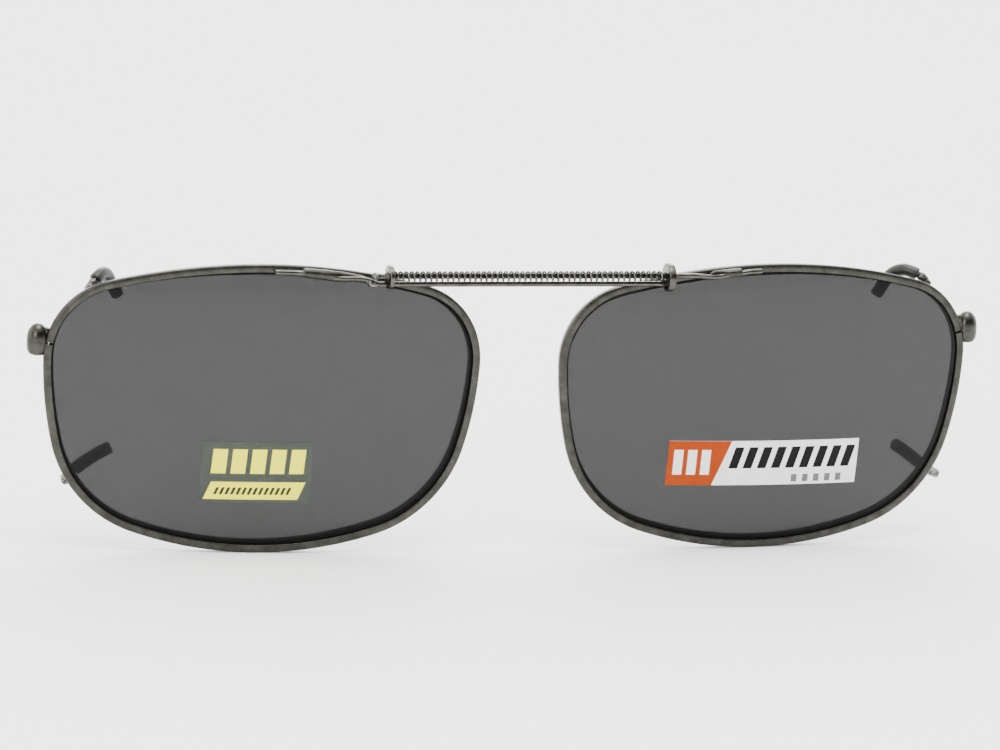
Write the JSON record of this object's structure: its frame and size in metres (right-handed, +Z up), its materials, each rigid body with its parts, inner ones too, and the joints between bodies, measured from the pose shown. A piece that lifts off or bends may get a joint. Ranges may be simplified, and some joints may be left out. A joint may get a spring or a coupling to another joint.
{
  "type": "clip-on sunglasses",
  "caption": "Clip-on sunglasses with smoke-grey wrapped lenses in thin metal rims, a sprung sliding bridge and sleeved claws that grip spectacle lenses from behind.",
  "frame": {"origin": "midway between the lenses, in the plane where the claws hold the spectacle lenses", "axes": "+X to the right seen from the front, +Y back towards the wearer, +Z up"},
  "size_m": [0.129, 0.0133, 0.0389],
  "materials": {
    "gunmetal": "satin plated",
    "bright_metal": "polished",
    "spring_steel": "polished wire",
    "smoke_lens": "gloss, see-through smoke grey",
    "vinyl": "satin",
    "clear_label": "clear film with yellow print",
    "white_label": "white film with orange and black print"
  },
  "bodies": {
    "left_half": {"left_rim": "gunmetal", "left_lens": "smoke_lens", "left_block_upper": "gunmetal", "left_block_lower": "gunmetal", "left_closing_screw": "bright_metal", "left_upper_claw": "bright_metal", "left_upper_claw_sleeve": "vinyl", "left_lower_claw": "gunmetal", "left_lower_claw_sleeve": "vinyl", "left_lens_sticker": "clear_label", "left_bridge_wire": "bright_metal", "right_end_plate": "bright_metal", "bridge_spring": "spring_steel"},
    "right_half": {"right_rim": "gunmetal", "right_lens": "smoke_lens", "right_block_upper": "gunmetal", "right_block_lower": "gunmetal", "right_closing_screw": "bright_metal", "right_upper_claw": "bright_metal", "right_upper_claw_sleeve": "vinyl", "right_lower_claw": "gunmetal", "right_lower_claw_sleeve": "vinyl", "right_lens_sticker": "white_label", "right_bridge_wire": "bright_metal", "left_end_plate": "bright_metal"}
  },
  "joints": [
    {"name": "bridge_slide", "type": "slide", "parent": "left_half", "child": "right_half", "axis": [1, 0, 0], "range_m": [0, 0.014], "stiffness_N_per_m": 200, "springref_m": -0.01, "deforming": ["bridge_spring"]}
  ]
}
